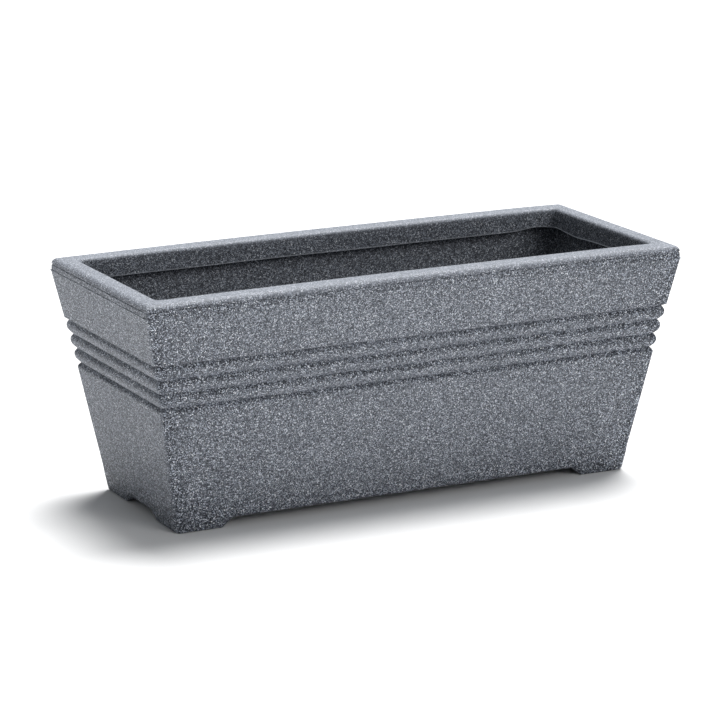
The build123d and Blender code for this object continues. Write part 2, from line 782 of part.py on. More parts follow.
with BuildPart() as indicator_tip:
    with BuildSketch(Plane.XY.offset(tip_top_z - tip_height)):
        with Locations((tube_x, tube_y)):
            Circle(tip_radius)
    extrude(amount=tip_height)
    fillet(indicator_tip.faces().sort_by(Axis.Z)[-1].edges(), radius=tip_rounding)
    with BuildSketch(Plane.XY.offset(tip_top_z - tip_height)):
        with Locations((tube_x, tube_y)):
            Circle(rod_radius)
    extrude(amount=rod_socket, mode=Mode.SUBTRACT)
save(indicator_tip, "indicator_tip")
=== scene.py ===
import math

import bpy
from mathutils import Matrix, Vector, noise


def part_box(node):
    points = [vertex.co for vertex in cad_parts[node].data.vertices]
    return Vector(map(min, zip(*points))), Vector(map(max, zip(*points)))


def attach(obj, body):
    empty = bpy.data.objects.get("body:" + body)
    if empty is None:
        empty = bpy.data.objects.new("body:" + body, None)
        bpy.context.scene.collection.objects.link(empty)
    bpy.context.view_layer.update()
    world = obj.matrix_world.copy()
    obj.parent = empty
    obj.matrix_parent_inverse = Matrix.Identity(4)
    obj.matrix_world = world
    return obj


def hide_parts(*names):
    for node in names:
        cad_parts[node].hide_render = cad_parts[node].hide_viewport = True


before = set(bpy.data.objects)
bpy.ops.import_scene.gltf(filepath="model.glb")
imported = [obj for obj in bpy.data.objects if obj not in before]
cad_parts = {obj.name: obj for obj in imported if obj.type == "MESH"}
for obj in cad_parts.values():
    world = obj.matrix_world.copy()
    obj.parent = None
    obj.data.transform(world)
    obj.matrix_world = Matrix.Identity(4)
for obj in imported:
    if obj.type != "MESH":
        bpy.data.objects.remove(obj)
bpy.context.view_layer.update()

MM = 0.001

shell_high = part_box("planter_shell")[1]
TOP_HALF_X = shell_high.x
TOP_HALF_Y = shell_high.y
HEIGHT = shell_high.z

# ---------------------------------------------------------------- sizes of the moulded shell, in metres

# The tapered wall: its outside at the base and at the kink, where it starts to flare more
KINK_Z = 162 * MM
KINK_HALF_X = 333 * MM
KINK_HALF_Y = 130 * MM
BASE_HALF_X = 303.5 * MM
BASE_HALF_Y = 105 * MM
TOP_CORNER = 4 * MM
BASE_CORNER = 7 * MM
WALL = 4 * MM
INNER_CORNER_LOSS = 2 * MM
BOW_DEPTH = 0.5 * MM
BOW_BIAS = 0.1
BOWS_PER_METRE_ALONG = 6
BOWS_PER_METRE_UP = 9

# The rolled rim: a flat top, an outer band with a fine lip and crease, and a skirt inside
RIM_END = 26.6 * MM
RIM_SIDE = 30.5 * MM
RIM_BAND = 15.5 * MM
RIM_ROUNDING = 7.5 * MM
RIM_INNER_ROUNDING = 5 * MM
RIM_CORNER_LEAST = 2.2 * MM
RIM_CORNER_LOSS = 0.3
OPENING_CORNER = 6 * MM
BAND_RECESS = 0.9 * MM
LIP_Z = HEIGHT - RIM_BAND
LIP_PROUD = 0.35 * MM
LIP_HALF_WIDTH = 0.9 * MM
LIP_LEVELS = (-1, -0.5, 0, 0.35, 0.7, 1.0, 1.4)
FLASH = 1.1 * MM
FLASH_HALF_WIDTH = 1.6 * LIP_HALF_WIDTH
CREASE_Z = 281.2 * MM
CREASE_DEPTH = 1.3 * MM
CREASE_WIDTH = 0.7 * MM
CREASE_LEVELS = (2.6 * MM, 1.4 * MM, 0.7 * MM)
WEB_CORNER = TOP_CORNER - 1 * MM
WEB_FILLET = 2.5 * MM

# The rim's sag at its two ends
LEFT_DROOP = 2.4 * MM
LEFT_DROOP_POWER = 1.6
RIGHT_DROOP = 1.4 * MM
RIGHT_DROOP_POWER = 8
DROOP_START_Z = 225 * MM

# The skirt and its hand-trimmed lower edge, with a rise and a dip near the rear right corner
SKIRT_DROP = 26.4 * MM
SKIRT_WALL = 3.5 * MM
SKIRT_WAVE = 0.5 * MM
SKIRT_WAVES_PER_METRE = 11
SKIRT_WAVE_PLACE = 4.0
SKIRT_EDGE = 0.9 * MM
SKIRT_EDGE_PROFILE = ((0, 2.5), (0, 1), (0.3, 0.3), (1, 0))
TRIM_RISE = 3.4 * MM
TRIM_RISE_X = 302 * MM
TRIM_RISE_WIDTH = 22 * MM
TRIM_DIP = 2.4 * MM
TRIM_DIP_Y = 62 * MM
TRIM_DIP_WIDTH = 30 * MM
REAR_SIDE = (90 * MM, 110 * MM)
RIGHT_SIDE = (310 * MM, 325 * MM)

# The band of grooves and beads
GROOVE_COUNT = 4
GROOVE_PITCH = 17.7 * MM
GROOVE_DEPTH = 4.6 * MM
GROOVE_TOP_Z = 212 * MM
GROOVE_LOW_Z = GROOVE_TOP_Z - (GROOVE_COUNT - 1) * GROOVE_PITCH
GROOVE_CHAMFER = 2.2 * MM
GROOVE_SHOULDER = 6 * MM
INNER_GROOVE_DEPTH = 3 * MM
INNER_TOP_Z = LIP_Z - 2 * MM
BEAD_FLATNESS = 1.2

# The feet, the underside and the floor
FOOT_LENGTH = 58 * MM
FOOT_SLOPE = 15.5 * MM
FOOT_HEIGHT = 11.5 * MM
FOOT_TOP_Z = 30 * MM
BASE_ROUNDING = 3.5 * MM
FLOOR_Z = 16 * MM
FLOOR_ROUNDING = 3 * MM
POCKET_DEPTH = 12 * MM
POCKET_WALL = 6 * MM
POCKET_SLOPE = 3 * MM
SHEET_MARGIN = 2 * MM
GAP_END_X = BASE_HALF_X - FOOT_LENGTH - FOOT_SLOPE
GAP_END_Y = BASE_HALF_Y - FOOT_LENGTH - FOOT_SLOPE

# Round holes for the fittings in the rear wall: x and z of each
HOLE_RADIUS = 9.2 * MM
HOLE_PLACES = ((150 * MM, 58 * MM), (-150 * MM, 33 * MM))
HOLE_REACH = 12 * MM

# How finely the mesh follows each stretch
CORNER_STEPS = 10
MIDDLE_STEPS_X = 22
MIDDLE_STEPS_Y = 4
SLOPE_STEP = 2 * MM
SLOPE_MARGIN = 4 * MM
CORNER_MARGIN = 1 * MM
CORNER_RUN_STEPS = 14
FOOT_STEPS = 6
FOOT_BLENDS = (0.35, 0.7)
LOW_WALL_STEPS = 12
HIGH_WALL_STEPS = 5
SHOULDER_STEPS = 7
CHAMFER_LEVELS = (0.5, 0.9, 1.0, 1.15)
BEAD_STEPS = 14
INNER_BEAD_STEPS = 8
INNER_LOW_STEPS = 9
RIM_STEPS = 10
RIM_INNER_STEPS = 7
SKIRT_LEVELS = (0.3, 0.65)
SKIRT_BACK_LEVEL = 0.5
FILLET_STEPS = 4
FLOOR_STEPS = 5
HOLE_STEPS = 48
SHARP_ANGLE = math.radians(42)

# Where painted shade lies, carried by a darker speckle, as shares from 0 to 1, and how far each such place
# reaches
# Painted shade over the long faces, and less over the end faces, which are so painted lighter
LONG_FACE_SHADE = 0.34
END_FACE_SHADE = 0.12
# Painted shade on the long faces beside the upright corners
CORNER_SHADE = 0.75
CORNER_SHADE_WIDTH = 11 * MM
# Painted falloff of light: shade growing towards the ends of the long faces
END_FALLOFF_SHADE = 0.45
END_FALLOFF_POWER = 3
# A band of painted shade on the rim's outer band
BAND_SHADE = 0.35
BAND_SHADE_Z = 277 * MM
BAND_SHADE_WIDTH = 5 * MM
# Painted shadow in the grooves, sitting a little below each groove, under its overhang
GROOVE_SHADOW = 0.75
GROOVE_SHADOW_OFFSET = 2.5 * MM
# Painted contact shadow at the foot, reaching higher on the end faces
FOOT_SHADOW = 0.95
FOOT_SHADOW_Z = 4 * MM
FOOT_SHADOW_REACH = 18 * MM
END_SHADOW_REACH = 30 * MM
# Painted shade on the skirt and inside the walls
INSIDE_SHADE = 0.62

# A painted highlight along the skirt's trimmed lower edge and painted sheen on top of the rim, as shares
TRIM_HEIGHT = 1.1 * MM
TRIM_MARGIN = 1 * MM
# Painted highlight along the skirt's lower edge: in full at the right end, faintly elsewhere
SKIRT_HIGHLIGHT = 0.95
FAINT_SKIRT_HIGHLIGHT = 0.3 * SKIRT_HIGHLIGHT
# Painted sheen on the rim's top, which mixes its speckle towards an even grey
TOP_SHEEN = 0.45
TOP_SHEEN_DEPTH = 2 * MM


# ---------------------------------------------------------------- small helpers

def soft_step(value, low, high, ease=0.08):
    """0 below low and 1 above high, straight in between, with eased ends."""
    t = (value - low) / (high - low)
    if t <= -ease:
        return 0.0
    if t >= 1 + ease:
        return 1.0
    if t < ease:
        return (t + ease) ** 2 / (4 * ease)
    if t > 1 - ease:
        return 1 - (1 + ease - t) ** 2 / (4 * ease)
    return t


def bump_at(value, centre, width):
    """A smooth bump of height 1."""
    return math.exp(-((value - centre) / width) ** 2)


def spaced(start, end, steps):
    """Evenly spaced values from start to end, both included."""
    return [start + (end - start) * i / steps for i in range(steps + 1)]


def rounding(radius, steps):
    """Places along a quarter round: how far each stands from the first side and from the second."""
    places = []
    for i in range(steps + 1):
        angle = math.pi / 2 * i / steps
        places.append((radius * (1 - math.sin(angle)), radius * (1 - math.cos(angle))))
    return places


def new_mesh_object(name, points, faces):
    """A smooth-shaded mesh object whose steeper edges stay sharp."""
    mesh = bpy.data.meshes.new(name)
    mesh.from_pydata([tuple(p) for p in points], [], faces)
    mesh.validate()
    mesh.polygons.foreach_set("use_smooth", [True] * len(mesh.polygons))
    mesh.set_sharp_from_angle(angle=SHARP_ANGLE)
    mesh.update()
    made = bpy.data.objects.new(name, mesh)
    bpy.context.scene.collection.objects.link(made)
    return made


# ---------------------------------------------------------------- shell profile

def outer_half(z):
    """Half length and half width of the shell's outside at height z, without the grooves."""
    if z >= LIP_Z:
        return TOP_HALF_X, TOP_HALF_Y
    if z >= KINK_Z:
        t = (z - KINK_Z) / (LIP_Z - KINK_Z)
        return KINK_HALF_X + t * (TOP_HALF_X - KINK_HALF_X), KINK_HALF_Y + t * (TOP_HALF_Y - KINK_HALF_Y)
    t = z / KINK_Z
    return BASE_HALF_X + t * (KINK_HALF_X - BASE_HALF_X), BASE_HALF_Y + t * (KINK_HALF_Y - BASE_HALF_Y)


def corner_at(z):
    """Radius of the shell's upright corners at height z."""
    return BASE_CORNER + (TOP_CORNER - BASE_CORNER) * min(max(z / HEIGHT, 0), 1)


def groove_at(z):
    """Depth of the groove band below the plain wall at height z."""
    below = GROOVE_TOP_Z - z
    band = (GROOVE_COUNT - 1) * GROOVE_PITCH
    if below < 0:
        return GROOVE_DEPTH * max(0.0, 1 + below / GROOVE_CHAMFER)
    if below <= band:
        return GROOVE_DEPTH * (1 - abs(math.sin(math.pi * below / GROOVE_PITCH))) ** BEAD_FLATNESS
    past = min(1.0, (below - band) / GROOVE_SHOULDER)
    return GROOVE_DEPTH * (1 - math.sin(math.pi / 2 * past))


def inner_groove_at(z):
    """The same band on the inside of the wall, softened by the moulding."""
    below = GROOVE_TOP_Z - z
    band = (GROOVE_COUNT - 1) * GROOVE_PITCH
    if below < -GROOVE_PITCH / 2 or below > band + GROOVE_PITCH / 2:
        return 0.0
    return INNER_GROOVE_DEPTH * (1 + math.cos(2 * math.pi * below / GROOVE_PITCH)) / 2


def foot_gap_height(x, y):
    """Height of the underside at x, y: zero on the feet, raised in the gaps between them."""
    along_x = soft_step(abs(x), GAP_END_X, GAP_END_X + FOOT_SLOPE)
    along_y = soft_step(abs(y), GAP_END_Y, GAP_END_Y + FOOT_SLOPE)
    return FOOT_HEIGHT * (1 - along_x * along_y)


def floor_height(x, y):
    """Height of the inside floor: flat, with a pocket down into each hollow foot."""
    depth = 1.0
    for value, half, gap_end in ((abs(x), BASE_HALF_X, GAP_END_X), (abs(y), BASE_HALF_Y, GAP_END_Y)):
        start = gap_end + POCKET_WALL
        end = half - POCKET_WALL
        depth *= soft_step(value, start, start + FOOT_SLOPE)
        depth *= 1 - soft_step(value, end - POCKET_SLOPE, end)
    return FLOOR_Z - POCKET_DEPTH * depth


# ---------------------------------------------------------------- shell mesh: rings of matching points

def stations(half, gap_end, middle_steps):
    """Places along a side, from one corner to the other, closer together at the slopes of the feet."""
    count = int((FOOT_SLOPE + 2 * SLOPE_MARGIN + SLOPE_STEP) / SLOPE_STEP)
    slope = [gap_end - SLOPE_MARGIN + i * SLOPE_STEP for i in range(count)]
    middle = [v for v in spaced(0, gap_end, middle_steps)[:-1] if v < slope[0] - SLOPE_STEP / 2]
    positive = middle + slope + spaced(slope[-1], half, CORNER_RUN_STEPS)[1:]
    return [-v for v in reversed(positive[1:])] + positive


STRAIGHT_X = BASE_HALF_X - BASE_CORNER - CORNER_MARGIN
STRAIGHT_Y = BASE_HALF_Y - BASE_CORNER - CORNER_MARGIN
STATIONS_X = stations(STRAIGHT_X, GAP_END_X, MIDDLE_STEPS_X)
STATIONS_Y = stations(STRAIGHT_Y, GAP_END_Y, MIDDLE_STEPS_Y)


def corner_stations(quadrant):
    """The stations round one upright corner; quadrant 0 is the one at +x, +y."""
    turns = [quadrant + i / CORNER_STEPS for i in range(1, CORNER_STEPS)]
    return [("corner", math.pi / 2 * turn, quadrant) for turn in turns]


def perimeter():
    """The stations round the shell, anticlockwise from above: (kind, value, side or quadrant)."""
    around = [("y", v, 1) for v in STATIONS_Y] + corner_stations(0)
    around += [("x", v, 1) for v in reversed(STATIONS_X)] + corner_stations(1)
    around += [("y", v, -1) for v in reversed(STATIONS_Y)] + corner_stations(2)
    around += [("x", v, -1) for v in STATIONS_X] + corner_stations(3)
    return around


PERIMETER = perimeter()
CORNER_SIDES = ((1, 1), (-1, 1), (-1, -1), (1, -1))


def station_point(station, half_x, half_y, radius):
    """x, y of a station on a rounded rectangle, with the direction out of it."""
    kind, value, side = station
    if kind == "y":
        return side * half_x, value / STRAIGHT_Y * (half_y - radius), side, 0
    if kind == "x":
        return value / STRAIGHT_X * (half_x - radius), side * half_y, 0, side
    sign_x, sign_y = CORNER_SIDES[side]
    out_x, out_y = math.cos(value), math.sin(value)
    x = sign_x * (half_x - radius) + radius * out_x
    y = sign_y * (half_y - radius) + radius * out_y
    return x, y, out_x, out_y


def base_place(station):
    """x, y of a station at the foot of the wall."""
    x, y, _, _ = station_point(station, BASE_HALF_X, BASE_HALF_Y, BASE_CORNER)
    return x, y


def wall_bow(x, y, z):
    """Slow in and out waviness of a large moulded panel."""
    place = Vector((x * BOWS_PER_METRE_ALONG, y * BOWS_PER_METRE_ALONG, z * BOWS_PER_METRE_UP))
    return BOW_DEPTH * (noise.noise(place) - BOW_BIAS)


def droop(x, z):
    """How far the rim sags towards its ends, fading out down the wall."""
    fade = min(max((z - DROOP_START_Z) / (HEIGHT - DROOP_START_Z), 0), 1)
    left = LEFT_DROOP * (max(-x, 0) / TOP_HALF_X) ** LEFT_DROOP_POWER
    right = RIGHT_DROOP * (max(x, 0) / TOP_HALF_X) ** RIGHT_DROOP_POWER
    return fade * (left + right)


def corner_share(station):
    """0 on the straight sides, rising to 1 in the middle of a corner."""
    kind, value, _ = station
    return abs(math.sin(2 * value)) if kind == "corner" else 0.0


def level_ring(z, half_x, half_y, radius, bow=0.0, corner_push=0.0):
    """A ring at one height, kept within the rim's outline. bow adds waviness inwards, from 0 to 1 of it;
    corner_push is how far the corners stand out.
    """
    ring = []
    for station in PERIMETER:
        x, y, out_x, out_y = station_point(station, half_x, half_y, radius)
        push = bow * min(wall_bow(x, y, z), 0.0) + corner_push * corner_share(station)
        x = min(max(x + out_x * push, -TOP_HALF_X), TOP_HALF_X)
        y = min(max(y + out_y * push, -TOP_HALF_Y), TOP_HALF_Y)
        ring.append(Vector((x, y, z - droop(x, z))))
    return ring


def foot_ring(inset, rise, blend=0.0):
    """A ring that follows the feet, rise above them; blend evens it out towards FOOT_TOP_Z."""
    ring = []
    for station in PERIMETER:
        z = foot_gap_height(*base_place(station)) + rise
        z += (FOOT_TOP_Z - z) * blend
        half_x, half_y = outer_half(z)
        radius = corner_at(z) - inset / 2
        x, y, _, _ = station_point(station, half_x - inset, half_y - inset, radius)
        ring.append(Vector((x, y, z)))
    return ring


def band_levels():
    """Heights through the band of grooves, from the bottom up."""
    levels = [GROOVE_LOW_Z - GROOVE_SHOULDER * (1 - i / SHOULDER_STEPS) for i in range(SHOULDER_STEPS)]
    steps = (GROOVE_COUNT - 1) * BEAD_STEPS
    levels += [GROOVE_LOW_Z + i * GROOVE_PITCH / BEAD_STEPS for i in range(steps + 1)]
    levels += [GROOVE_TOP_Z + GROOVE_CHAMFER * level for level in CHAMFER_LEVELS]
    return levels


def outer_levels():
    """Heights up the outside, from the feet to where the rim's edge starts to round."""
    band = band_levels()
    levels = spaced(FOOT_TOP_Z, band[0], LOW_WALL_STEPS)[:-1] + band
    levels += spaced(band[-1], LIP_Z - 2 * LIP_HALF_WIDTH, HIGH_WALL_STEPS)[1:]
    levels += [LIP_Z + LIP_HALF_WIDTH * level for level in LIP_LEVELS]
    levels += [HEIGHT - RIM_ROUNDING - level for level in CREASE_LEVELS]
    return levels


def rim_inset(z):
    """How far the rim's outer band stands back: a step, a crease and a fine ridge at the parting line."""
    ridge = LIP_PROUD * max(0.0, 1 - abs(z - LIP_Z) / LIP_HALF_WIDTH)
    step = soft_step(z, LIP_Z, LIP_Z + LIP_HALF_WIDTH)
    crease = CREASE_DEPTH * bump_at(z, CREASE_Z, CREASE_WIDTH)
    return LIP_PROUD + (BAND_RECESS - LIP_PROUD) * step + crease - ridge


def outer_rings():
    """Rings from the edge of the underside, up the wall and over the rim's outer edge."""
    rings = [foot_ring(inset, rise) for inset, rise in rounding(BASE_ROUNDING, FOOT_STEPS)]
    rings += [foot_ring(0.0, BASE_ROUNDING, blend) for blend in FOOT_BLENDS]
    for z in outer_levels():
        half_x, half_y = outer_half(min(z, LIP_Z))
        inset = groove_at(z) + rim_inset(z)
        flash = FLASH * max(0.0, 1 - abs(z - LIP_Z) / FLASH_HALF_WIDTH)
        rings.append(level_ring(z, half_x - inset, half_y - inset, corner_at(z), bow=1.0, corner_push=flash))
    for depth, inset in rounding(RIM_ROUNDING, RIM_STEPS):
        z = HEIGHT - depth
        inset += rim_inset(z)
        radius = max(TOP_CORNER - inset * RIM_CORNER_LOSS, RIM_CORNER_LEAST)
        rings.append(level_ring(z, TOP_HALF_X - inset, TOP_HALF_Y - inset, radius))
    return rings


def skirt_edge_drop(x, y):
    """How far the trimmed lower edge of the skirt hangs below the rim's top, with its hand-cut wave."""
    place = Vector((x * SKIRT_WAVES_PER_METRE, y * SKIRT_WAVES_PER_METRE, SKIRT_WAVE_PLACE))
    drop = SKIRT_DROP + SKIRT_WAVE * noise.noise(place)
    if y > 0 and x > 0:
        drop -= TRIM_RISE * bump_at(x, TRIM_RISE_X, TRIM_RISE_WIDTH) * soft_step(y, *REAR_SIDE)
        drop += TRIM_DIP * bump_at(y, TRIM_DIP_Y, TRIM_DIP_WIDTH) * soft_step(x, *RIGHT_SIDE)
    return drop


def opening_ring(z, outward):
    """A level ring round the rim's opening, outward from its edge."""
    half_x = TOP_HALF_X - RIM_END + outward
    half_y = TOP_HALF_Y - RIM_SIDE + outward
    return level_ring(z, half_x, half_y, OPENING_CORNER + outward)


def skirt_ring(depth_share, outward, rise=0.0):
    """A ring on the skirt: depth_share of the way down to rise above its edge, outward from the opening."""
    half_x = TOP_HALF_X - RIM_END + outward
    half_y = TOP_HALF_Y - RIM_SIDE + outward
    top = HEIGHT - RIM_INNER_ROUNDING
    ring = []
    for station in PERIMETER:
        x, y, _, _ = station_point(station, half_x, half_y, OPENING_CORNER + outward)
        low = HEIGHT - skirt_edge_drop(x, y) + rise
        z = top + (low - top) * depth_share
        ring.append(Vector((x, y, z - droop(x, z))))
    return ring


def skirt_rings():
    """Rings over the rim's inner edge, down the skirt, round its trimmed edge and up behind it."""
    rim_edge = rounding(RIM_INNER_ROUNDING, RIM_INNER_STEPS)
    rings = [opening_ring(HEIGHT - depth, inset) for inset, depth in rim_edge]
    rings += [skirt_ring(level, 0.0) for level in SKIRT_LEVELS]
    front = [(out * SKIRT_EDGE, rise * SKIRT_EDGE) for out, rise in SKIRT_EDGE_PROFILE]
    back = [(SKIRT_WALL - out, rise) for out, rise in reversed(front)]
    rings += [skirt_ring(1.0, out, rise) for out, rise in front + back]
    rings.append(skirt_ring(SKIRT_BACK_LEVEL, SKIRT_WALL))
    return rings


def web_rings():
    """Rings along the underside of the rim's top, from behind the skirt to the inside of the wall."""
    web_z = HEIGHT - WALL
    rings = []
    for depth, out in rounding(WEB_FILLET, FILLET_STEPS):
        rings.append(opening_ring(web_z - depth, SKIRT_WALL + out))
    for inset, depth in rounding(WEB_FILLET, FILLET_STEPS):
        inset += WALL
        rings.append(level_ring(web_z - depth, TOP_HALF_X - inset, TOP_HALF_Y - inset, WEB_CORNER))
    return rings


def inner_levels():
    """Heights down the inside of the wall, from under the rim to the floor's rounding."""
    wave_low = GROOVE_LOW_Z - GROOVE_PITCH / 2
    steps = GROOVE_COUNT * INNER_BEAD_STEPS
    wave = [wave_low + i * GROOVE_PITCH / INNER_BEAD_STEPS for i in range(steps + 1)]
    above = spaced(INNER_TOP_Z, wave[-1], HIGH_WALL_STEPS)[:-1]
    below = spaced(wave[0], FLOOR_Z + FLOOR_ROUNDING, INNER_LOW_STEPS)[1:]
    return above + list(reversed(wave)) + below


def inner_wall_ring(z, inset, bow):
    """A ring on the inside of the wall, inset from the plain outside."""
    half_x, half_y = outer_half(z)
    return level_ring(z, half_x - inset, half_y - inset, corner_at(z) - INNER_CORNER_LOSS, bow=bow)


def inner_wall_rings():
    """Rings down the inside of the wall and round into the floor."""
    rings = [inner_wall_ring(z, WALL + inner_groove_at(z), 1.0) for z in inner_levels()]
    for rise, inset in rounding(FLOOR_ROUNDING, FLOOR_STEPS)[1:]:
        rings.append(inner_wall_ring(FLOOR_Z + rise, WALL + inset, 0.0))
    return rings


def sheet_border(index):
    """The points along a grid's edge, anticlockwise, each corner repeated to match the ring's corner."""
    last_x = len(STATIONS_X) - 1
    last_y = len(STATIONS_Y) - 1
    along_x = range(last_x + 1)
    along_y = range(last_y + 1)
    repeats = CORNER_STEPS - 1
    border = [index[last_x, j] for j in along_y] + [index[last_x, last_y]] * repeats
    border += [index[i, last_y] for i in reversed(along_x)] + [index[0, last_y]] * repeats
    border += [index[0, j] for j in reversed(along_y)] + [index[0, 0]] * repeats
    border += [index[i, 0] for i in along_x] + [index[last_x, 0]] * repeats
    return border


def add_sheet(points, faces, ring, height_at, up):
    """Fills the inside of a ring with a grid on its stations, at the heights that height_at gives."""
    index = {}
    for i, station_x in enumerate(STATIONS_X):
        for j, station_y in enumerate(STATIONS_Y):
            x = station_x / STRAIGHT_X * (STRAIGHT_X - SHEET_MARGIN)
            y = station_y / STRAIGHT_Y * (STRAIGHT_Y - SHEET_MARGIN)
            index[i, j] = len(points)
            points.append(Vector((x, y, height_at(x, y))))

    def face(*corners):
        faces.append(corners if up else tuple(reversed(corners)))

    for i in range(len(STATIONS_X) - 1):
        for j in range(len(STATIONS_Y) - 1):
            face(index[i, j], index[i + 1, j], index[i + 1, j + 1], index[i, j + 1])
    border = sheet_border(index)
    total = len(border)
    for k in range(total):
        following = (k + 1) % total
        corners = [border[k], ring[k], ring[following], border[following]]
        if corners[0] == corners[3]:
            corners.pop()
        face(*corners)


def build_shell():
    """The moulded trough as one closed mesh."""
    points, faces = [], []
    rings = outer_rings() + skirt_rings() + web_rings() + inner_wall_rings()
    count = len(PERIMETER)
    for ring in rings:
        points.extend(ring)
    for level in range(len(rings) - 1):
        low, high = level * count, (level + 1) * count
        for k in range(count):
            following = (k + 1) % count
            faces.append((low + k, low + following, high + following, high + k))
    add_sheet(points, faces, list(range(count)), foot_gap_height, up=False)
    last = (len(rings) - 1) * count
    add_sheet(points, faces, list(range(last, last + count)), floor_height, up=True)
    made = new_mesh_object("planter_body", points, faces)
    for name, share_at in SURFACE_SHARES.items():
        layer = made.data.attributes.new(name, "FLOAT", "POINT")
        layer.data.foreach_set("value", [share_at(p) for p in points])
    return made


def punch_hole(target, x, z):
    """Cuts a round hole square through the rear wall, for a fitting."""
    lean = math.atan((KINK_HALF_Y - BASE_HALF_Y) / KINK_Z)
    out = Vector((0, math.cos(lean), -math.sin(lean)))
    upward = Vector((0, math.sin(lean), math.cos(lean)))
    centre = Vector((x, outer_half(z)[1], z))
    turns = [2 * math.pi * i / HOLE_STEPS for i in range(HOLE_STEPS)]
    circle = [Vector((math.cos(a), 0, 0)) + upward * math.sin(a) for a in turns]
    points = [centre + side * HOLE_REACH * out + HOLE_RADIUS * v for side in (-1, 1) for v in circle]
    faces = [tuple(reversed(range(HOLE_STEPS))), tuple(range(HOLE_STEPS, 2 * HOLE_STEPS))]
    for i in range(HOLE_STEPS):
        following = (i + 1) % HOLE_STEPS
        faces.append((i, following, HOLE_STEPS + following, HOLE_STEPS + i))
    cutter = new_mesh_object("hole_cutter", points, faces)
    cut = target.modifiers.new("hole", "BOOLEAN")
    cut.object = cutter
    evaluated = target.evaluated_get(bpy.context.evaluated_depsgraph_get())
    punched = bpy.data.meshes.new_from_object(evaluated)
    target.modifiers.clear()
    target.data = punched
    bpy.data.objects.remove(cutter)


# ---------------------------------------------------------------- shares that the granite follows

def is_inside(x, y, z):
    """Whether a place on the mesh, in the quarter at +x, +y, is on the skirt or inside the walls."""
    half_x, half_y = outer_half(z)
    depth = min(half_x - x, half_y - y)
    if z > HEIGHT - RIM_ROUNDING:
        return depth > 2 * RIM_ROUNDING and z < HEIGHT - RIM_INNER_ROUNDING / 2
    return depth > groove_at(z) + WALL / 2


def painted_shade_share(point):
    """How much painted shade the darker speckle carries: beside the corners, towards the ends, on the rim's
    band, in the grooves, at the foot and inside, and less on the end faces.
    """
    x, y, z = abs(point.x), abs(point.y), point.z
    if is_inside(x, y, z):
        return INSIDE_SHADE
    if z > HEIGHT - RIM_INNER_ROUNDING:
        return 0.0
    half_x, half_y = outer_half(z)
    on_end = half_x - x < half_y - y
    reach = END_SHADOW_REACH if on_end else FOOT_SHADOW_REACH
    share = GROOVE_SHADOW * groove_at(z + GROOVE_SHADOW_OFFSET) / GROOVE_DEPTH
    share += FOOT_SHADOW * math.exp(-max(z - FOOT_SHADOW_Z, 0) / reach)
    if on_end:
        return min(share + END_FACE_SHADE, 1.0)
    share += LONG_FACE_SHADE + CORNER_SHADE * bump_at(x, half_x, CORNER_SHADE_WIDTH)
    share += END_FALLOFF_SHADE * (x / half_x) ** END_FALLOFF_POWER
    share += BAND_SHADE * bump_at(z, BAND_SHADE_Z, BAND_SHADE_WIDTH)
    return min(share, 1.0)


def skirt_highlight_share(point):
    """How strongly a highlight is painted along the skirt's trimmed lower edge: in full on the skirt at the
    right end, faintly elsewhere.
    """
    x, y = point.x, point.y
    inside = min(TOP_HALF_X - abs(x), TOP_HALF_Y - abs(y))
    edge_z = HEIGHT - skirt_edge_drop(x, y) - droop(x, HEIGHT - SKIRT_DROP)
    if inside < RIM_END - SKIRT_WALL - TRIM_MARGIN or abs(point.z - edge_z) > TRIM_HEIGHT:
        return 0.0
    return SKIRT_HIGHLIGHT if x > TOP_HALF_X - RIM_END - TRIM_MARGIN else FAINT_SKIRT_HIGHLIGHT


def painted_sheen_share(point):
    """How far painted sheen evens out the speckle on the rim's top."""
    return TOP_SHEEN * soft_step(point.z, HEIGHT - RIM_ROUNDING, HEIGHT - TOP_SHEEN_DEPTH)


SURFACE_SHARES = {"painted_shade": painted_shade_share, "skirt_highlight": skirt_highlight_share, "painted_sheen": painted_sheen_share}


# ---------------------------------------------------------------- helpers for materials

def new_material(name):
    """A new material, with its node tree and its Principled shader."""
    material = bpy.data.materials.new(name)
    material.use_nodes = True
    tree = material.node_tree
    return material, tree, tree.nodes["Principled BSDF"]


def add_node(tree, kind, **settings):
    """A new node; each setting goes to the socket of that name or, failing that, to the node itself."""
    made = tree.nodes.new(kind)
    for key, value in settings.items():
        if key in made.inputs:
            made.inputs[key].default_value = value
        else:
            setattr(made, key, value)
    return made


def object_place(tree):
    """The place on the object, in metres, which every texture follows."""
    return add_node(tree, "ShaderNodeTexCoord").outputs["Object"]


def noise_on(tree, place, scale, detail, roughness=0.5):
    """A soft noise between 0 and 1, scale waves to the metre."""
    made = add_node(tree, "ShaderNodeTexNoise", Scale=scale, Detail=detail, Roughness=roughness)
    tree.links.new(place, made.inputs["Vector"])
    return made.outputs["Fac"]


def share_of(tree, name):
    """A share that the mesh carries at its points."""
    return add_node(tree, "ShaderNodeAttribute", attribute_name=name).outputs["Fac"]


def ramp(tree, source, stops):
    """A colour ramp with (position, colour) stops."""
    made = add_node(tree, "ShaderNodeValToRGB")
    while len(made.color_ramp.elements) < len(stops):
        made.color_ramp.elements.new(1.0)
    for element, (position, colour) in zip(made.color_ramp.elements, stops):
        element.position = position
        element.color = (*colour, 1)
    tree.links.new(source, made.inputs["Fac"])
    return made.outputs["Color"]


